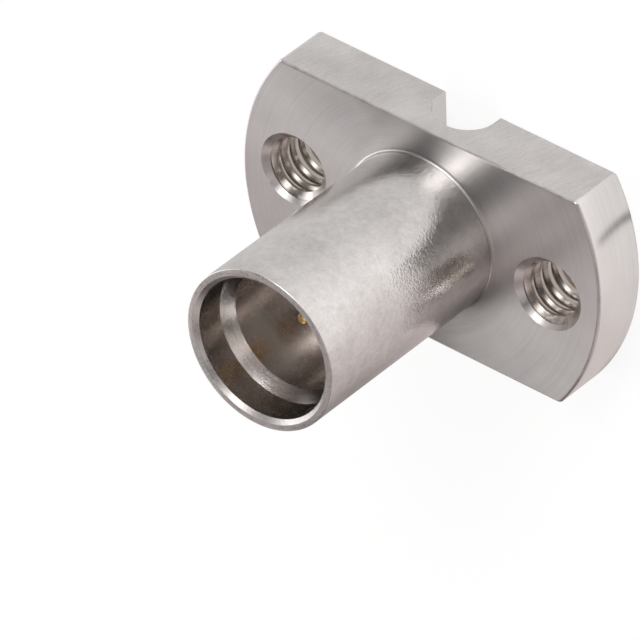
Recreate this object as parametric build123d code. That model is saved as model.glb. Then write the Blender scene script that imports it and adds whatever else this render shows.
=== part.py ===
from build123d import *
import os

# Coaxial connector of the push-on miniature kind with a two-hole flange, in millimetres.
# A turned and milled steel body holds a gold-plated centre contact between two PTFE beads.
# Frame: origin at the middle of the flange's back face, which lies on the circuit board.
# +Z is the mating axis out of the mouth, X runs through the two tapped holes,
# and +Y points to the flat that the board-side channel opens in.

# Flange
HOLE_SPACING = 8.64
FLANGE_DIAMETER = 12.10
FLANGE_WIDTH = 6.76
FLANGE_THICKNESS = 1.86
FLANGE_CORNER_RADIUS = 0.20
EDGE_BREAK = 0.08

# Tapped holes, M2 coarse: the wall stands at the thread's major diameter
THREAD_MAJOR_DIAMETER = 2.0
COUNTERSINK_DIAMETER = 2.24

# Barrel outside
BARREL_DIAMETER = 4.88
BARREL_LENGTH = 7.19
BARREL_BASE_FILLET = 0.09
RIM_ROUNDING = 0.03

# Mouth and shroud bore, with depths measured from the rim
MOUTH_DIAMETER = 4.26
MOUTH_CHAMFER = 0.12
MOUTH_DEPTH = 1.02
LEAD_IN_DEPTH = 1.44
SHROUD_DIAMETER = 3.84
SHROUD_DEPTH = 3.37

# Coaxial line inside the body
LINE_BORE_DIAMETER = 2.0
BEAD_THICKNESS = 1.2
LIP_THICKNESS = 0.35
APERTURE_DIAMETER = 1.27

# Centre contact
PIN_DIAMETER = 0.38
PIN_TIP_DEPTH = 1.84
PIN_TIP_ROUNDING = 0.12
BEAD_SECTION_DIAMETER = 0.60
COLLAR_DIAMETER = 0.87

# Channel and recess in the board face
CHANNEL_DEPTH = 1.32
CHANNEL_MOUTH_WIDTH = 1.90
CHANNEL_MOUTH_OFFSET = 0.20
CHANNEL_END_WIDTH = 0.80
RECESS_DIAMETER = 1.90

# Radial clearances of the beads in the body and of the contact in the beads
BEAD_CLEARANCE = 0.01
CONTACT_CLEARANCE = 0.01

# Heights above the board face
RIM_Z = FLANGE_THICKNESS + BARREL_LENGTH
SHROUD_FLOOR_Z = RIM_Z - SHROUD_DEPTH
LIP_TOP_Z = CHANNEL_DEPTH + LIP_THICKNESS
REAR_BEAD_TOP_Z = LIP_TOP_Z + BEAD_THICKNESS
FRONT_BEAD_BACK_Z = SHROUD_FLOOR_Z - BEAD_THICKNESS
PIN_TIP_Z = RIM_Z - PIN_TIP_DEPTH


def turned(points):
    """A solid turned about Z from the (radius, height) points of its half section."""
    section = make_face(Polyline([(r, 0, z) for r, z in points], close=True))
    return revolve(section, Axis.Z)


def flange():
    """Disc with two parallel flats, its four corners rounded and its outline edges broken."""
    outline = Circle(FLANGE_DIAMETER / 2) & Rectangle(FLANGE_DIAMETER, FLANGE_WIDTH)
    outline = fillet(outline.vertices(), FLANGE_CORNER_RADIUS)
    plate = extrude(outline, FLANGE_THICKNESS)
    outline_edges = plate.edges().group_by(Axis.Z)[0] + plate.edges().group_by(Axis.Z)[-1]
    return chamfer(outline_edges, EDGE_BREAK)


def barrel():
    """Round tube blank on the flange, with a fillet at its base and a rounded rim."""
    blank = Cylinder(BARREL_DIAMETER / 2, RIM_Z, align=(Align.CENTER, Align.CENTER, Align.MIN))
    return fillet(blank.edges().group_by(Axis.Z)[-1], RIM_ROUNDING)


def blend_barrel(body):
    """Fillet where the barrel stands on the flange's front face."""
    base = body.edges().filter_by(GeomType.CIRCLE).filter_by_position(
        Axis.Z, FLANGE_THICKNESS, FLANGE_THICKNESS
    )
    return fillet(base.sort_by(SortBy.LENGTH)[-1], BARREL_BASE_FILLET)


def bore_cut():
    """Everything bored on the axis, from the mouth down to the aperture in the back lip."""
    mouth, shroud = MOUTH_DIAMETER / 2, SHROUD_DIAMETER / 2
    line, aperture = LINE_BORE_DIAMETER / 2, APERTURE_DIAMETER / 2
    return turned([
        (0, 0),
        (aperture, 0),
        (aperture, LIP_TOP_Z),
        (line, LIP_TOP_Z),
        (line, SHROUD_FLOOR_Z),
        (shroud, SHROUD_FLOOR_Z),
        (shroud, RIM_Z - LEAD_IN_DEPTH),
        (mouth, RIM_Z - MOUTH_DEPTH),
        (mouth, RIM_Z - MOUTH_CHAMFER),
        (mouth + MOUTH_CHAMFER, RIM_Z),
        (0, RIM_Z),
    ])


def tapped_hole_cut():
    """Through hole with a 90 degree countersink at the flange's front face."""
    major, sink = THREAD_MAJOR_DIAMETER / 2, COUNTERSINK_DIAMETER / 2
    sink_depth = sink - major
    return turned([
        (0, 0),
        (major, 0),
        (major, FLANGE_THICKNESS - sink_depth),
        (sink, FLANGE_THICKNESS),
        (0, FLANGE_THICKNESS),
    ])


def channel_section(width):
    """Arch that stands on the board face: straight walls under a half-round roof."""
    wall_height = CHANNEL_DEPTH - width / 2
    walls = Rectangle(width, wall_height, align=(Align.CENTER, Align.MIN))
    return walls + Pos(0, wall_height) * Circle(width / 2)


def channel_cut():
    """Channel that narrows from the flat to the axis, with a round recess at the contact's tail."""
    at_axis = Plane.XZ * channel_section(CHANNEL_END_WIDTH)
    at_flat = Plane.XZ.offset(-FLANGE_WIDTH / 2) * (
        Pos(CHANNEL_MOUTH_OFFSET, 0) * channel_section(CHANNEL_MOUTH_WIDTH)
    )
    recess = Cylinder(
        RECESS_DIAMETER / 2, CHANNEL_DEPTH, align=(Align.CENTER, Align.CENTER, Align.MIN)
    )
    return loft([at_axis.face(), at_flat.face()]) + recess


def connector_body():
    """Flange and barrel in one piece, bored, tapped and channelled."""
    body = blend_barrel(flange() + barrel()) - bore_cut() - channel_cut()
    for side in (-1, 1):
        body -= Pos(side * HOLE_SPACING / 2, 0, 0) * tapped_hole_cut()
    return body


def centre_contact():
    """Turned pin: tail, bead section, collar, bead section and mating pin with a rounded tip."""
    pin, bead, collar = PIN_DIAMETER / 2, BEAD_SECTION_DIAMETER / 2, COLLAR_DIAMETER / 2
    contact = turned([
        (0, 0),
        (pin, 0),
        (pin, LIP_TOP_Z),
        (bead, LIP_TOP_Z),
        (bead, REAR_BEAD_TOP_Z),
        (collar, REAR_BEAD_TOP_Z),
        (collar, FRONT_BEAD_BACK_Z),
        (bead, FRONT_BEAD_BACK_Z),
        (bead, SHROUD_FLOOR_Z),
        (pin, SHROUD_FLOOR_Z),
        (pin, PIN_TIP_Z),
        (0, PIN_TIP_Z),
    ])
    return fillet(contact.edges().group_by(Axis.Z)[-1], PIN_TIP_ROUNDING)


def front_insulator():
    """Bead flush with the shroud's floor."""
    outside = LINE_BORE_DIAMETER / 2 - BEAD_CLEARANCE
    hole = BEAD_SECTION_DIAMETER / 2 + CONTACT_CLEARANCE
    return turned([
        (hole, FRONT_BEAD_BACK_Z),
        (outside, FRONT_BEAD_BACK_Z),
        (outside, SHROUD_FLOOR_Z),
        (hole, SHROUD_FLOOR_Z),
    ])


def rear_insulator():
    """Bead on the back lip, with a spigot through the aperture round the contact's tail."""
    outside = LINE_BORE_DIAMETER / 2 - BEAD_CLEARANCE
    spigot = APERTURE_DIAMETER / 2 - BEAD_CLEARANCE
    bead_hole = BEAD_SECTION_DIAMETER / 2 + CONTACT_CLEARANCE
    tail_hole = PIN_DIAMETER / 2 + CONTACT_CLEARANCE
    return turned([
        (tail_hole, CHANNEL_DEPTH),
        (spigot, CHANNEL_DEPTH),
        (spigot, LIP_TOP_Z),
        (outside, LIP_TOP_Z),
        (outside, REAR_BEAD_TOP_Z),
        (bead_hole, REAR_BEAD_TOP_Z),
        (bead_hole, LIP_TOP_Z),
        (tail_hole, LIP_TOP_Z),
    ])


PIECES = {
    "connector_body": connector_body,
    "centre_contact": centre_contact,
    "front_insulator": front_insulator,
    "rear_insulator": rear_insulator,
}

os.makedirs("parts", exist_ok=True)
for name, make in PIECES.items():
    export_step(make(), f"parts/{name}.step")
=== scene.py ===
from math import atan2, cos, hypot, pi, radians, sin, sqrt

import bmesh
import bpy
from mathutils import Matrix, Vector

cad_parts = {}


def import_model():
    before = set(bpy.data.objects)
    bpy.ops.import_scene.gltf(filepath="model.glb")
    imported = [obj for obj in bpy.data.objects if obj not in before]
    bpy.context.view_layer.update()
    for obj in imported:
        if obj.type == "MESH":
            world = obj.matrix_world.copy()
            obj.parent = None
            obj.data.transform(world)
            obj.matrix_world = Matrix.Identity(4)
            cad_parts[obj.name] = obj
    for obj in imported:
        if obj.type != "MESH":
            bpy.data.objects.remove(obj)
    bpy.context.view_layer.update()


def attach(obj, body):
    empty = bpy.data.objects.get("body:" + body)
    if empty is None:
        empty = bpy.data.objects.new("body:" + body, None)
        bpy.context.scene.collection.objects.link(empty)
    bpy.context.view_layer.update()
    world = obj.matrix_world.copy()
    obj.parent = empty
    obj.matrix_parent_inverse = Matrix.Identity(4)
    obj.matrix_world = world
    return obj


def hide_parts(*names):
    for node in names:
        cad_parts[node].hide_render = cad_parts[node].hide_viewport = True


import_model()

MM = 0.001

# Sizes repeated from the part's source, in millimetres
HOLE_SPACING = 8.64
FLANGE_RADIUS = 6.05
FLANGE_WIDTH = 6.76
FLANGE_THICKNESS = 1.86
FLANGE_CORNER_RADIUS = 0.20
EDGE_BREAK = 0.08
THREAD_MAJOR = 1.0
COUNTERSINK = 1.12
BARREL_RADIUS = 2.44
BARREL_LENGTH = 7.19
BARREL_BASE_FILLET = 0.09
RIM_ROUNDING = 0.03
MOUTH_RADIUS = 2.13
MOUTH_CHAMFER = 0.12
MOUTH_DEPTH = 1.02
LEAD_IN_DEPTH = 1.44
SHROUD_RADIUS = 1.92
SHROUD_DEPTH = 3.37
LINE_RADIUS = 1.0
BEAD_THICKNESS = 1.2
LIP_THICKNESS = 0.35
APERTURE_RADIUS = 0.635
PIN_RADIUS = 0.19
PIN_TIP_DEPTH = 1.84
PIN_TIP_ROUNDING = 0.12
BEAD_SECTION_RADIUS = 0.30
COLLAR_RADIUS = 0.435
CHANNEL_DEPTH = 1.32
CHANNEL_MOUTH_WIDTH = 1.90
CHANNEL_MOUTH_OFFSET = 0.20
CHANNEL_END_WIDTH = 0.80
RECESS_RADIUS = 0.95
CLEARANCE = 0.01

# Heights above the board face
RIM_Z = FLANGE_THICKNESS + BARREL_LENGTH
SHROUD_FLOOR_Z = RIM_Z - SHROUD_DEPTH
LIP_TOP_Z = CHANNEL_DEPTH + LIP_THICKNESS
REAR_BEAD_TOP_Z = LIP_TOP_Z + BEAD_THICKNESS
FRONT_BEAD_BACK_Z = SHROUD_FLOOR_Z - BEAD_THICKNESS
PIN_TIP_Z = RIM_Z - PIN_TIP_DEPTH

# M2 coarse thread: one turn of the rod that cuts it, as (share of the pitch, radius)
PITCH = 0.4
THREAD_PROFILE = (
    (0.0, THREAD_MAJOR),
    (0.08, THREAD_MAJOR),
    (0.25, 0.885),
    (0.36, 0.835),
    (0.54, 0.82),
    (0.72, 0.835),
    (0.83, 0.885),
)
THREAD_TURNS = 7
THREAD_START_Z = -1.5 * PITCH
THREAD_ROD_TIP = 0.3

# How finely round forms are divided
AROUND = 192
AROUND_RECESS = 128
AROUND_BEAD = 96
AROUND_CONTACT = 64
ARC_STEPS = 6
EDGE_STEPS = 3
PIN_TIP_STEPS = 8
FLANGE_END_STEPS = 32
FLANGE_CORNER_STEPS = 12
CHANNEL_STEPS = 48
BARREL_LEVELS = 12

# How far a solid that cuts stands out of the body, the same for the countersinks, and how far
# the barrel's blank is sunk in the plate
OVERSHOOT = 1
SINK_OVERSHOOT = 0.5
BARREL_SUNK = 0.5

# Points nearer than this, in metres, are one, and edges that turn by more degrees stay sharp
SAME_PLACE = 1e-8
SHARP_ANGLE = 25


def mesh_object(name, verts, faces):
    """A new object from points in millimetres, with its faces turned outwards."""
    mesh = bpy.data.meshes.new(name)
    mesh.from_pydata([Vector(v) * MM for v in verts], [], faces)
    bm = bmesh.new()
    bm.from_mesh(mesh)
    bmesh.ops.remove_doubles(bm, verts=bm.verts, dist=SAME_PLACE)
    bmesh.ops.recalc_face_normals(bm, faces=bm.faces)
    bm.to_mesh(mesh)
    bm.free()
    obj = bpy.data.objects.new(name, mesh)
    bpy.context.scene.collection.objects.link(obj)
    return obj


def arc(r, z, radius, start, end, steps=ARC_STEPS):
    """Points of an arc in the (radius, height) plane, from start to end degrees."""
    angles = [radians(start + (end - start) * i / steps) for i in range(steps + 1)]
    return [(r + radius * cos(a), z + radius * sin(a)) for a in angles]


def lathe(name, section, around=AROUND, x=0.0):
    """Solid of revolution about the vertical line at x, from a closed (radius, height) section."""
    verts, faces, rings = [], [], []
    for r, z in section:
        if r == 0:
            rings.append([len(verts)] * around)
            verts.append((x, 0, z))
        else:
            rings.append(list(range(len(verts), len(verts) + around)))
            verts += [
                (x + r * cos(2 * pi * i / around), r * sin(2 * pi * i / around), z)
                for i in range(around)
            ]
    for low, high in zip(rings, rings[1:] + rings[:1]):
        for i in range(around):
            j = (i + 1) % around
            corners = list(dict.fromkeys([low[i], low[j], high[j], high[i]]))
            if len(corners) > 2:
                faces.append(corners)
    return mesh_object(name, verts, faces)


def flange_outline(inset=0.0):
    """Points of the flange's outline, a disc with two flats and rounded corners, drawn inwards."""
    radius, half = FLANGE_RADIUS - inset, FLANGE_WIDTH / 2 - inset
    corner = FLANGE_CORNER_RADIUS - inset
    cy = half - corner
    cx = sqrt((radius - corner) ** 2 - cy ** 2)
    meet = atan2(cy, cx)
    end = []
    for i in range(FLANGE_END_STEPS + 1):
        a = -meet + 2 * meet * i / FLANGE_END_STEPS
        end.append((radius * cos(a), radius * sin(a)))
    upper = []
    for i in range(1, FLANGE_CORNER_STEPS + 1):
        a = meet + (pi / 2 - meet) * i / FLANGE_CORNER_STEPS
        upper.append((cx + corner * cos(a), cy + corner * sin(a)))
    lower = [(x, -y) for x, y in reversed(upper)]
    right = lower + end + upper
    return right + [(-x, -y) for x, y in right]


def stack(name, layers):
    """Solid between outlines of equally many points, given upwards as (points, height)."""
    count = len(layers[0][0])
    verts = [(x, y, z) for points, z in layers for x, y in points]
    faces = [list(range(count))[::-1], [len(verts) - count + i for i in range(count)]]
    for k in range(len(layers) - 1):
        for i in range(count):
            j = (i + 1) % count
            a, b = k * count, (k + 1) * count
            faces.append([a + i, a + j, b + j, b + i])
    return mesh_object(name, verts, faces)


def flange():
    """The plate, with its outline edges broken by a small round."""
    low = arc(-EDGE_BREAK, EDGE_BREAK, EDGE_BREAK, -90, 0, EDGE_STEPS)
    high = arc(-EDGE_BREAK, FLANGE_THICKNESS - EDGE_BREAK, EDGE_BREAK, 0, 90, EDGE_STEPS)
    return stack("flange", [(flange_outline(-r), z) for r, z in low + high])


def barrel():
    """The blank of the barrel with the fillet at its base and its rounded rim."""
    fillet, top = BARREL_BASE_FILLET, FLANGE_THICKNESS
    foot = arc(BARREL_RADIUS + fillet, top + fillet, fillet, 270, 180)
    rim = arc(BARREL_RADIUS - RIM_ROUNDING, RIM_Z - RIM_ROUNDING, RIM_ROUNDING, 0, 90)
    levels = [
        (BARREL_RADIUS, top + fillet + (RIM_Z - top) * k / BARREL_LEVELS)
        for k in range(1, BARREL_LEVELS)
    ]
    return lathe("barrel", [
        (0, top - BARREL_SUNK),
        (BARREL_RADIUS + fillet, top - BARREL_SUNK),
        *foot,
        *levels,
        *rim,
        (0, RIM_Z),
    ])


def bore():
    """Everything bored on the axis, from below the back face to above the rim."""
    above = RIM_Z - MOUTH_CHAMFER + OVERSHOOT
    return lathe("bore", [
        (0, -OVERSHOOT),
        (APERTURE_RADIUS, -OVERSHOOT),
        (APERTURE_RADIUS, LIP_TOP_Z),
        (LINE_RADIUS, LIP_TOP_Z),
        (LINE_RADIUS, SHROUD_FLOOR_Z),
        (SHROUD_RADIUS, SHROUD_FLOOR_Z),
        (SHROUD_RADIUS, RIM_Z - LEAD_IN_DEPTH),
        (MOUTH_RADIUS, RIM_Z - MOUTH_DEPTH),
        (MOUTH_RADIUS, RIM_Z - MOUTH_CHAMFER),
        (MOUTH_RADIUS + OVERSHOOT, above),
        (0, above),
    ])


def countersink(x):
    """Ninety degree cone that opens at the front face."""
    above = FLANGE_THICKNESS + SINK_OVERSHOOT
    return lathe("countersink", [
        (0, FLANGE_THICKNESS - COUNTERSINK),
        (COUNTERSINK + SINK_OVERSHOOT, above),
        (0, above),
    ], x=x)


def thread_rod(x):
    """Rod with a right-hand thread, longer than the flange is thick, on a grid along the helix."""
    per_turn = len(THREAD_PROFILE)
    verts, faces = [], []
    for turn in range(THREAD_TURNS):
        for share, r in THREAD_PROFILE:
            z = THREAD_START_Z + (turn + share) * PITCH
            for i in range(AROUND):
                a = 2 * pi * i / AROUND
                verts.append((x + r * cos(a), r * sin(a), z + PITCH * i / AROUND))

    def at(k, i):
        """Vertex i of row k, where a full turn later is the next turn's row."""
        return (k + per_turn * (i // AROUND)) * AROUND + i % AROUND

    last = per_turn * (THREAD_TURNS - 1) - 1
    for k in range(last):
        for i in range(AROUND):
            faces.append([at(k, i), at(k, i + 1), at(k + 1, i + 1), at(k + 1, i)])
    top_z = THREAD_START_Z + THREAD_TURNS * PITCH + THREAD_ROD_TIP
    for row, tip_z in ((0, THREAD_START_Z - THREAD_ROD_TIP), (last, top_z)):
        ring = [at(row, i) for i in range(AROUND)]
        ring += [at(row + per_turn - j, 0) for j in range(per_turn)]
        tip = len(verts)
        verts.append((x, 0, tip_z))
        faces += [[a, b, tip] for a, b in zip(ring, ring[1:] + ring[:1]) if a != b]
    return mesh_object("thread_rod", verts, faces)


def channel():
    """Channel in the back face, narrowing from beyond the flat to the axis."""
    verts = []
    for y in (0, FLANGE_WIDTH / 2 + OVERSHOOT):
        share = y / (FLANGE_WIDTH / 2)
        half = (CHANNEL_END_WIDTH + (CHANNEL_MOUTH_WIDTH - CHANNEL_END_WIDTH) * share) / 2
        middle, spring = CHANNEL_MOUTH_OFFSET * share, CHANNEL_DEPTH - half
        angles = [pi * i / CHANNEL_STEPS for i in range(CHANNEL_STEPS + 1)]
        verts.append((middle + half, y, -OVERSHOOT))
        verts += [(middle + half * cos(a), y, spring + half * sin(a)) for a in angles]
        verts.append((middle - half, y, -OVERSHOOT))
    count = len(verts) // 2
    faces = [list(range(count)), [count + i for i in range(count)]]
    for i in range(count):
        j = (i + 1) % count
        faces.append([i, j, count + j, count + i])
    return mesh_object("channel", verts, faces)


def recess():
    """Round pocket at the contact's tail."""
    return lathe("recess", [
        (0, -OVERSHOOT),
        (RECESS_RADIUS, -OVERSHOOT),
        (RECESS_RADIUS, CHANNEL_DEPTH),
        (0, CHANNEL_DEPTH),
    ], AROUND_RECESS)


def combine(obj, other, operation):
    """Joins other to obj, or cuts it away, and removes other."""
    modifier = obj.modifiers.new(operation, "BOOLEAN")
    modifier.object, modifier.operation, modifier.solver = other, operation, "EXACT"
    graph = bpy.context.evaluated_depsgraph_get()
    mesh = bpy.data.meshes.new_from_object(obj.evaluated_get(graph))
    obj.modifiers.clear()
    obj.data = mesh
    bpy.data.objects.remove(other)


def finish_mesh(obj):
    """Smooth shading with hard edges, and normals that follow the large faces."""
    bm = bmesh.new()
    bm.from_mesh(obj.data)
    bmesh.ops.dissolve_degenerate(bm, dist=SAME_PLACE, edges=bm.edges)
    bm.to_mesh(obj.data)
    bm.free()
    obj.data.polygons.foreach_set("use_smooth", [True] * len(obj.data.polygons))
    obj.data.set_sharp_from_angle(angle=radians(SHARP_ANGLE))
    weighted_normals = obj.modifiers.new("normals", "WEIGHTED_NORMAL")
    weighted_normals.keep_sharp = True


# Sockets of the Mix node that mixes colours
MIX_FACTOR, MIX_A, MIX_B, MIX_RESULT = 0, 6, 7, 2

# Noise values that count as its darkest and lightest
NOISE_RANGE = (0.35, 0.65)
STEEL_NOISE_RANGE = (0.38, 0.62)

# Steel: how fine its clouds and its blasted marks are, how far milled marks lean, and how much
# marks, speckle and clouds each change the colour
CLOUD_SCALE = 0.55
BLASTED_SCALE = 4.0
MILLED_SLANT = 0.3
MARKS_SHARE, SPECKLE_SHARE, CLOUD_SHARE = 0.35, 0.25, 0.4

# A quarter turn, for anisotropy across the tangent
QUARTER_TURN = 0.25


def material(name):
    """An empty node material, its tree and its shader."""
    made = bpy.data.materials.new(name)
    made.use_nodes = True
    tree = made.node_tree
    return made, tree, tree.nodes["Principled BSDF"]


def add(tree, kind, inputs=(), **settings):
    """A node with its settings, and its inputs as {socket: number or output}."""
    node = tree.nodes.new(kind)
    for key, value in settings.items():
        setattr(node, key, value)
    for key, value in dict(inputs).items():
        if isinstance(value, bpy.types.NodeSocket):
            tree.links.new(value, node.inputs[key])
        else:
            node.inputs[key].default_value = value
    return node


def maths(tree, operation, a, b=0.0, c=0.0):
    return add(tree, "ShaderNodeMath", {0: a, 1: b, 2: c}, operation=operation).outputs[0]


def vector_maths(tree, operation, a, b=(0, 0, 0)):
    """Outputs of a vector operation: the first is its vector, and "Value" its number."""
    return add(tree, "ShaderNodeVectorMath", {0: a, 1: b}, operation=operation).outputs


def weighted(tree, *parts):
    """Sum of the values times their shares, given as (value, share)."""
    total = 0.0
    for value, share in parts:
        total = maths(tree, "MULTIPLY_ADD", value, share, total)
    return total


def split(tree, vector):
    return add(tree, "ShaderNodeSeparateXYZ", {0: vector}).outputs


def joined(tree, x, y, z):
    return add(tree, "ShaderNodeCombineXYZ", {0: x, 1: y, 2: z}).outputs[0]


def position(tree):
    """Place on the object in millimetres."""
    coords = add(tree, "ShaderNodeTexCoord").outputs["Object"]
    return vector_maths(tree, "MULTIPLY", coords, (1 / MM, 1 / MM, 1 / MM))[0]


def polar(tree, place, across, along):
    """Coordinates round the axis: (radius, angle, height), stretched for turning marks."""
    x, y, z = split(tree, place)[:3]
    square = maths(tree, "ADD", maths(tree, "MULTIPLY", x, x), maths(tree, "MULTIPLY", y, y))
    radius = maths(tree, "SQRT", square)
    angle = maths(tree, "ABSOLUTE", maths(tree, "ARCTAN2", y, x))
    return joined(
        tree,
        maths(tree, "MULTIPLY", radius, across),
        maths(tree, "MULTIPLY", angle, along),
        maths(tree, "MULTIPLY", z, across),
    )


def slanted(tree, place, across, along):
    """Coordinates stretched for milling marks that lean a little."""
    x, y, z = split(tree, place)[:3]
    leaning = maths(tree, "MULTIPLY_ADD", z, MILLED_SLANT, x)
    return joined(
        tree,
        maths(tree, "MULTIPLY", leaning, across),
        maths(tree, "MULTIPLY", y, along),
        maths(tree, "MULTIPLY", z, along),
    )


def noise(tree, vector, scale, detail=2.0, rough=0.5):
    inputs = {"Vector": vector, "Scale": scale, "Detail": detail, "Roughness": rough}
    return add(tree, "ShaderNodeTexNoise", inputs).outputs["Fac"]


def spread(tree, value, to, source=NOISE_RANGE):
    """Maps a value from the source range to the range (low, high)."""
    inputs = {
        "Value": value,
        "From Min": source[0],
        "From Max": source[1],
        "To Min": to[0],
        "To Max": to[1],
    }
    return add(tree, "ShaderNodeMapRange", inputs).outputs["Result"]


def tinted(tree, factor, dark, light):
    """Colour from dark to light by the factor."""
    inputs = {MIX_FACTOR: factor, MIX_A: (*dark, 1), MIX_B: (*light, 1)}
    return add(tree, "ShaderNodeMix", inputs, data_type="RGBA").outputs[MIX_RESULT]


def raise_relief(tree, shader, height, depth):
    """Bump on the shader, depth in millimetres."""
    inputs = {"Strength": 1.0, "Distance": depth * MM, "Height": height}
    bump = add(tree, "ShaderNodeBump", inputs).outputs[0]
    tree.links.new(bump, shader.inputs["Normal"])


def steel(
    name, dark, light, rough, marks, depth,
    anisotropy=0.0, grain=(26, 1.2), speckle_scale=34.0, speckle_relief=0.25,
):
    """Passivated stainless steel, its marks 'turned', 'milled' or 'blasted'.

    dark, light and rough are its ranges of colour and roughness, and depth is the relief in
    millimetres, of which the speckle has the share speckle_relief. grain says how fine turned or
    milled marks are across and along.
    """
    made, tree, shader = material(name)
    place = position(tree)
    if marks == "turned":
        lines = noise(tree, polar(tree, place, *grain), 1.0, detail=4.0, rough=0.6)
    elif marks == "milled":
        lines = noise(tree, slanted(tree, place, *grain), 1.0, detail=4.0, rough=0.6)
    else:
        lines = noise(tree, place, BLASTED_SCALE, rough=0.6)
    speckle = noise(tree, place, speckle_scale, detail=3.0, rough=0.6)
    cloud = noise(tree, place, CLOUD_SCALE)

    mixed = weighted(tree, (speckle, SPECKLE_SHARE), (cloud, CLOUD_SHARE), (lines, MARKS_SHARE))
    shade = spread(tree, mixed, (0, 1), STEEL_NOISE_RANGE)
    tree.links.new(tinted(tree, shade, dark, light), shader.inputs["Base Color"])
    uneven = weighted(tree, (speckle, 0.5), (lines, 0.5))
    tree.links.new(spread(tree, uneven, rough, STEEL_NOISE_RANGE), shader.inputs["Roughness"])
    height = weighted(tree, (lines, 1.0 - speckle_relief), (speckle, speckle_relief))
    raise_relief(tree, shader, height, depth)
    shader.inputs["Metallic"].default_value = 1.0
    if anisotropy:
        shader.inputs["Anisotropic"].default_value = anisotropy
        shader.inputs["Anisotropic Rotation"].default_value = QUARTER_TURN
        x, y = split(tree, place)[:2]
        tangent = joined(tree, maths(tree, "MULTIPLY", y, -1.0), x, 0.0)
        tree.links.new(tangent, shader.inputs["Tangent"])
    return made


def smooth_turned(name, dark, light, rough, cloud_scale, grain, depth):
    """A softly clouded material with fine turning marks, and its shader."""
    made, tree, shader = material(name)
    place = position(tree)
    lines = noise(tree, polar(tree, place, *grain), 1.0, detail=3.0)
    cloud = spread(tree, noise(tree, place, cloud_scale), (0, 1))
    tree.links.new(tinted(tree, cloud, dark, light), shader.inputs["Base Color"])
    tree.links.new(spread(tree, lines, rough), shader.inputs["Roughness"])
    raise_relief(tree, shader, lines, depth)
    return made, shader


def gold():
    made, shader = smooth_turned(
        "gold", dark=(0.86, 0.56, 0.20), light=(0.95, 0.70, 0.32), rough=(0.16, 0.26),
        cloud_scale=3.0, grain=(30, 2), depth=0.002,
    )
    shader.inputs["Metallic"].default_value = 1.0
    return made


def ptfe():
    made, shader = smooth_turned(
        "ptfe", dark=(0.84, 0.84, 0.81), light=(0.92, 0.92, 0.90), rough=(0.42, 0.55),
        cloud_scale=1.5, grain=(18, 1.5), depth=0.004,
    )
    shader.inputs["Subsurface Weight"].default_value = 0.15
    shader.inputs["Subsurface Radius"].default_value = (0.0006, 0.0006, 0.0005)
    return made


# Steel finishes of the body's faces, by how each is made; the bored, thread and fillet colours
# also hold painted shade
FINISHES_AND_PAINTED_SHADE = {
    "faced": dict(
        dark=(0.60, 0.59, 0.585), light=(0.72, 0.71, 0.70), rough=(0.32, 0.40),
        marks="turned", depth=0.0024, anisotropy=0.96,
    ),
    "milled": dict(
        dark=(0.59, 0.565, 0.55), light=(0.78, 0.755, 0.74), rough=(0.36, 0.46),
        marks="milled", depth=0.0090, grain=(22, 2.0), speckle_scale=13.0, speckle_relief=0.6,
    ),
    "barrel": dict(
        dark=(0.60, 0.575, 0.56), light=(0.78, 0.755, 0.74), rough=(0.10, 0.18),
        marks="blasted", depth=0.0100, speckle_scale=11.0, speckle_relief=0.85,
    ),
    # Painted shade: a darker, warmer colour that stands in for the shade and the warm reflections
    # inside the bore
    "bored": dict(
        dark=(0.50, 0.455, 0.425), light=(0.60, 0.56, 0.53), rough=(0.21, 0.29),
        marks="blasted", depth=0.0024, anisotropy=0.3,
    ),
    # Painted shade: a browner, warmer colour that stands in for the shade and warm reflections
    # inside the tapped holes
    "thread": dict(
        dark=(0.58, 0.53, 0.49), light=(0.69, 0.64, 0.59), rough=(0.18, 0.26),
        marks="blasted", depth=0.0008, speckle_scale=9.0, speckle_relief=0.3,
    ),
    "lead_in": dict(
        dark=(0.50, 0.475, 0.46), light=(0.74, 0.715, 0.70), rough=(0.17, 0.27),
        marks="turned", depth=0.0036, grain=(16, 4.0), speckle_scale=14.0, speckle_relief=0.7,
    ),
    "rim": dict(
        dark=(0.56, 0.535, 0.52), light=(0.74, 0.715, 0.70), rough=(0.26, 0.40),
        marks="turned", depth=0.0085, grain=(24, 3.0), speckle_scale=13.0, speckle_relief=0.6,
    ),
    "side": dict(
        dark=(0.75, 0.73, 0.715), light=(0.85, 0.83, 0.815), rough=(0.12, 0.20),
        marks="turned", depth=0.0016,
    ),
    # Painted shade: a darker colour that dims the highlight along the fillet at the barrel's base
    "fillet": dict(
        dark=(0.40, 0.38, 0.37), light=(0.48, 0.46, 0.45), rough=(0.28, 0.36),
        marks="turned", depth=0.0004,
    ),
    "sunk": dict(
        dark=(0.60, 0.57, 0.56), light=(0.72, 0.69, 0.68), rough=(0.28, 0.38),
        marks="blasted", depth=0.0040,
    ),
}

# Slack in millimetres when a face's middle is held against a size, and how far from the barrel
# the flange's outline begins
TINY = 1e-6
FINE = 0.001
NEAR = 0.02
WIDE = 0.05
OFF_BARREL = 0.5

# Parts of a face's normal: square to an axis, along it, on the countersink's cone, and across
SQUARE = 0.999
ALONG = 0.99
ON_CONE = 0.6
ACROSS = 0.05


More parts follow.
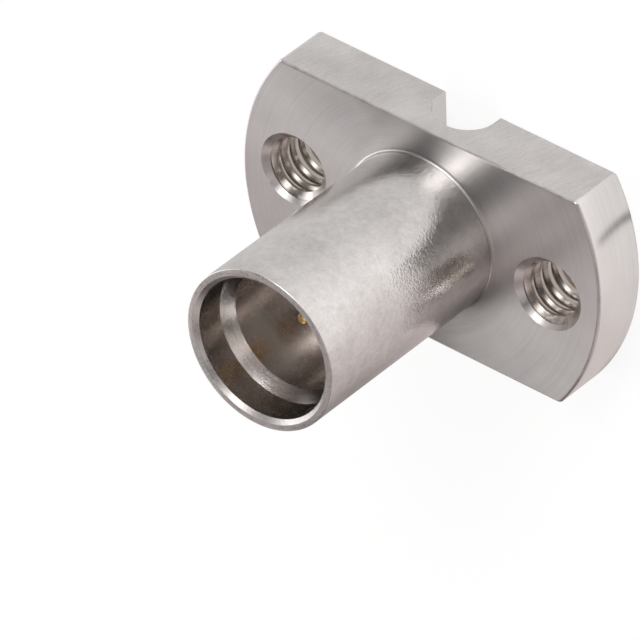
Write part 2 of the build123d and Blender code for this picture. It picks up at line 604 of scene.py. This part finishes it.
def finish_and_painted_shade_of(face):
    """Which finish a face of the body has, some with painted shade, from where it is and which way
    it looks.
    """
    x, y, z = face.center / MM
    normal = face.normal
    radius = hypot(x, y)
    from_hole = hypot(abs(x) - HOLE_SPACING / 2, y)
    in_plate = z < FLANGE_THICKNESS
    looks_outward = normal.x * x + normal.y * y >= TINY
    if from_hole < COUNTERSINK and 0 < z and in_plate and abs(normal.z) < SQUARE:
        on_cone = from_hole > THREAD_MAJOR - WIDE and normal.z > ON_CONE
        return "sunk" if on_cone else "thread"
    at_lead_in = RIM_Z - LEAD_IN_DEPTH < z < RIM_Z - MOUTH_DEPTH
    if at_lead_in and SHROUD_RADIUS + NEAR < radius < MOUTH_RADIUS - NEAR:
        return "lead_in"
    if not looks_outward and radius < MOUTH_RADIUS + NEAR and TINY < z < RIM_Z - FINE:
        return "bored"
    if z > RIM_Z - MOUTH_CHAMFER - NEAR and radius < BARREL_RADIUS - FINE:
        return "rim"
    if radius > BARREL_RADIUS + OFF_BARREL and in_plate and ACROSS < abs(normal.z) < ALONG:
        return "sunk"
    if abs(normal.z) > ALONG:
        return "faced"
    if abs(normal.y) > ALONG and abs(y) > FLANGE_WIDTH / 2 - NEAR:
        return "milled"
    if in_plate:
        return "side"
    return "fillet" if z < FLANGE_THICKNESS + BARREL_BASE_FILLET else "barrel"


def body_piece():
    """Flange and barrel, bored, channelled and tapped, with a finish for each face, some of them
    with painted shade.
    """
    piece = flange()
    combine(piece, barrel(), "UNION")
    for cut in (bore, channel, recess):
        combine(piece, cut(), "DIFFERENCE")
    for x in (-HOLE_SPACING / 2, HOLE_SPACING / 2):
        combine(piece, thread_rod(x), "DIFFERENCE")
        combine(piece, countersink(x), "DIFFERENCE")
    piece.name = "steel_body"
    finish_mesh(piece)
    piece.data.materials.clear()
    for name, looks in FINISHES_AND_PAINTED_SHADE.items():
        piece.data.materials.append(steel(name + "_steel", **looks))
    order = list(FINISHES_AND_PAINTED_SHADE)
    for face in piece.data.polygons:
        face.material_index = order.index(finish_and_painted_shade_of(face))
    return piece


def contact_piece():
    """Stepped pin with a rounded tip."""
    tip = arc(
        PIN_RADIUS - PIN_TIP_ROUNDING, PIN_TIP_Z - PIN_TIP_ROUNDING, PIN_TIP_ROUNDING,
        0, 90, PIN_TIP_STEPS,
    )
    piece = lathe("gold_contact", [
        (0, 0),
        (PIN_RADIUS, 0),
        (PIN_RADIUS, LIP_TOP_Z),
        (BEAD_SECTION_RADIUS, LIP_TOP_Z),
        (BEAD_SECTION_RADIUS, REAR_BEAD_TOP_Z),
        (COLLAR_RADIUS, REAR_BEAD_TOP_Z),
        (COLLAR_RADIUS, FRONT_BEAD_BACK_Z),
        (BEAD_SECTION_RADIUS, FRONT_BEAD_BACK_Z),
        (BEAD_SECTION_RADIUS, SHROUD_FLOOR_Z),
        (PIN_RADIUS, SHROUD_FLOOR_Z),
        *tip,
        (0, PIN_TIP_Z),
    ], AROUND_CONTACT)
    finish_mesh(piece)
    piece.data.materials.append(gold())
    return piece


def bead_piece(name, section, white):
    piece = lathe(name, section, AROUND_BEAD)
    finish_mesh(piece)
    piece.data.materials.append(white)
    return piece


def bead_pieces():
    """The front and the rear insulator, the rear one with a spigot round the contact's tail."""
    outside, spigot = LINE_RADIUS - CLEARANCE, APERTURE_RADIUS - CLEARANCE
    hole, tail_hole = BEAD_SECTION_RADIUS + CLEARANCE, PIN_RADIUS + CLEARANCE
    white = ptfe()
    front = bead_piece("front_bead", [
        (hole, FRONT_BEAD_BACK_Z),
        (outside, FRONT_BEAD_BACK_Z),
        (outside, SHROUD_FLOOR_Z),
        (hole, SHROUD_FLOOR_Z),
    ], white)
    rear = bead_piece("rear_bead", [
        (tail_hole, CHANNEL_DEPTH),
        (spigot, CHANNEL_DEPTH),
        (spigot, LIP_TOP_Z),
        (outside, LIP_TOP_Z),
        (outside, REAR_BEAD_TOP_Z),
        (hole, REAR_BEAD_TOP_Z),
        (hole, LIP_TOP_Z),
        (tail_hole, LIP_TOP_Z),
    ], white)
    return front, rear


body = body_piece()
contact = contact_piece()
front_bead, rear_bead = bead_pieces()

for piece, node, slot in (
    (body, "connector_body", "stainless_steel"),
    (contact, "centre_contact", "gold_plating"),
    (front_bead, "front_insulator", "ptfe"),
    (rear_bead, "rear_insulator", "ptfe"),
):
    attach(piece, "root")
    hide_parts(node)


# Floor: half its side in metres, how far it lies below the part in millimetres,
# its grey and the white that the camera sees of it
FLOOR_HALF_SIDE = 3.0
FLOOR_DROP = 0.01
FLOOR_GREY = 0.22
FLOOR_WHITE = 0.855

# Glow of the floor in the metal: its plain level, and brighter or darker parts as azimuth in
# degrees, strength, and how narrow each is. They fade to a share of that near the part.
FLOOR_LEVEL = 0.56
FLOOR_PATCHES = (
    (42, 0.40, 3),
    (-92, -0.36, 3),
)
PATCH_SHARES = (0.25, 1.0)
PATCH_FADE = (5.5 * MM, 9.5 * MM)

# Narrow dark streak in the floor's glow beside the flange, seen only in the metal, a painted
# reflection that puts
# a dark line on the flange: the point it starts from in millimetres, its azimuth, strength and
# narrowness, and the distances over which it fades out
STREAK_START = (0.67, 3.01, 0)
STREAK_AROUND = -8.5
STREAK_STRENGTH = -0.45
STREAK_NARROW = 2500
STREAK_FADE = (7.9 * MM, 8.8 * MM)

# The light is a little rosy on one side: elevation in the world, azimuth, narrowness and colour
ROSY_HEIGHT = 30
ROSY_AROUND = -65
ROSY_NARROW = 1.5
ROSY = (1.0, 0.87, 0.85)
WHITE = (1, 1, 1)

# Soft lights of the studio: elevation and azimuth in degrees, strength, and how narrow each is
SOFT_LIGHTS = (
    (6, 45, 1.67, 25),
    (6, 90, 8.3, 25),
    (6, 202, 3.3, 25),
    (6, 315, 1.55, 25),
    (22, 11, 1.0, 25),
    (22, 168, 2.2, 25),
    (22, 214, 1.9, 25),
    (40, 0, 0.62, 25),
    (40, 83, 1.25, 25),
    (40, 111, 0.5, 25),
    (26, 182, 1.6, 60),
    (14, 254, 2.0, 60),
    (68, 335, 0.9, 60),
    (20, 196, 0.8, 60),
    (40, 305, 0.55, 25),
    (57, 253, 0.4, 25),
    (74, 288, 0.94, 25),
    (63, 107, 3.1, 120),
    (46, 94, 5.6, 130),
    (70, 207, 1.2, 150),
)

# Camera of the photograph: the point it looks at and its distance from there in millimetres, its
# azimuth, elevation and roll in degrees, its lens and sensor in millimetres, and its near and
# far clipping in metres
CAMERA_TARGET = (-0.22, -0.797, 5.995)
CAMERA_DISTANCE = 296.3
CAMERA_AROUND = 52.453
CAMERA_HEIGHT = 41.212
CAMERA_ROLL = -126.72
CAMERA_LENS = 616.4
CAMERA_SENSOR = 36.0
CAMERA_CLIP = (0.01, 20.0)


def rays(tree):
    return add(tree, "ShaderNodeLightPath").outputs


def lobe(tree, direction, height, around, narrow):
    """One at a direction, given by elevation and azimuth in degrees, falling softly beside it."""
    e, a = radians(height), radians(around)
    towards = (cos(e) * cos(a), cos(e) * sin(a), sin(e))
    dot = vector_maths(tree, "DOT_PRODUCT", direction, towards)["Value"]
    return maths(tree, "EXPONENT", maths(tree, "MULTIPLY_ADD", dot, narrow, -narrow))


def light_colour(tree, direction, height):
    """White, rosy on one side, and white everywhere to the camera."""
    unseen = maths(tree, "SUBTRACT", 1.0, rays(tree)["Is Camera Ray"])
    side = lobe(tree, direction, height, ROSY_AROUND, ROSY_NARROW)
    return tinted(tree, maths(tree, "MULTIPLY", side, unseen), WHITE, ROSY)


def floor_glow(tree):
    """Level of the floor in the metal, by where on the floor it is."""
    place = add(tree, "ShaderNodeNewGeometry").outputs["Position"]
    flat = vector_maths(tree, "MULTIPLY", place, (1, 1, 0))[0]
    outward = vector_maths(tree, "NORMALIZE", flat)[0]
    away = vector_maths(tree, "LENGTH", flat)["Value"]
    patches = 0.0
    for around, strength, narrow in FLOOR_PATCHES:
        here = lobe(tree, outward, 0, around, narrow)
        patches = maths(tree, "MULTIPLY_ADD", here, strength, patches)
    share = spread(tree, away, PATCH_SHARES, PATCH_FADE)
    level = maths(tree, "MULTIPLY_ADD", patches, share, FLOOR_LEVEL)
    # Painted dark reflection: a narrow darker strip in the glow beside the flange, which the
    # flange reflects as a dark line
    from_start = vector_maths(tree, "SUBTRACT", flat, Vector(STREAK_START) * MM)[0]
    along = vector_maths(tree, "NORMALIZE", from_start)[0]
    streak = lobe(tree, along, 0, STREAK_AROUND, STREAK_NARROW)
    strength = spread(tree, away, (STREAK_STRENGTH, 0.0), STREAK_FADE)
    return maths(tree, "MULTIPLY_ADD", streak, strength, level), outward


def floor():
    """Matte floor that keeps the part's shadow, white to the camera and glowing in the metal."""
    bm = bmesh.new()
    bmesh.ops.create_grid(bm, x_segments=1, y_segments=1, size=FLOOR_HALF_SIDE)
    mesh = bpy.data.meshes.new("floor")
    bm.to_mesh(mesh)
    bm.free()
    obj = bpy.data.objects.new("floor", mesh)
    obj.location.z = -FLOOR_DROP * MM
    bpy.context.scene.collection.objects.link(obj)
    made, tree, shader = material("floor")
    tree.nodes.remove(shader)
    path = rays(tree)
    mirrored = maths(tree, "MAXIMUM", path["Is Glossy Ray"], path["Is Transmission Ray"])
    level, outward = floor_glow(tree)
    to_camera = maths(tree, "MULTIPLY", path["Is Camera Ray"], FLOOR_WHITE)
    seen = maths(tree, "MULTIPLY_ADD", level, mirrored, to_camera)
    matte = add(tree, "ShaderNodeBsdfDiffuse", {"Color": (FLOOR_GREY, FLOOR_GREY, FLOOR_GREY, 1)})
    colour = light_colour(tree, outward, 0)
    glow = add(tree, "ShaderNodeEmission", {"Color": colour, "Strength": seen})
    both = add(tree, "ShaderNodeAddShader", {0: matte.outputs[0], 1: glow.outputs[0]})
    tree.links.new(both.outputs[0], tree.nodes["Material Output"].inputs["Surface"])
    obj.data.materials.append(made)


def world():
    """Dark studio with soft lights, white where the camera looks past the floor."""
    made = bpy.data.worlds.new("studio")
    made.use_nodes = True
    tree = made.node_tree
    direction = add(tree, "ShaderNodeTexCoord").outputs["Generated"]
    level = 0.0
    for height, around, strength, narrow in SOFT_LIGHTS:
        here = lobe(tree, direction, height, around, narrow)
        level = maths(tree, "MULTIPLY_ADD", here, strength, level)
    seen = maths(tree, "MAXIMUM", level, rays(tree)["Is Camera Ray"])
    background = tree.nodes["Background"]
    tree.links.new(seen, background.inputs["Strength"])
    tree.links.new(light_colour(tree, direction, ROSY_HEIGHT), background.inputs["Color"])
    bpy.context.scene.world = made


def camera():
    """Camera at the photograph's viewing angle."""
    data = bpy.data.cameras.new("camera")
    data.lens, data.sensor_width = CAMERA_LENS, CAMERA_SENSOR
    data.clip_start, data.clip_end = CAMERA_CLIP
    obj = bpy.data.objects.new("camera", data)
    target = Matrix.Translation(Vector(CAMERA_TARGET) * MM)
    around = Matrix.Rotation(radians(90 + CAMERA_AROUND), 4, "Z")
    down = Matrix.Rotation(radians(90 - CAMERA_HEIGHT), 4, "X")
    roll = Matrix.Rotation(radians(CAMERA_ROLL), 4, "Z")
    back = Matrix.Translation((0, 0, CAMERA_DISTANCE * MM))
    obj.matrix_world = target @ around @ down @ roll @ back
    bpy.context.scene.collection.objects.link(obj)
    bpy.context.scene.camera = obj


floor()
world()
camera()
bpy.context.scene.view_settings.view_transform = "Standard"
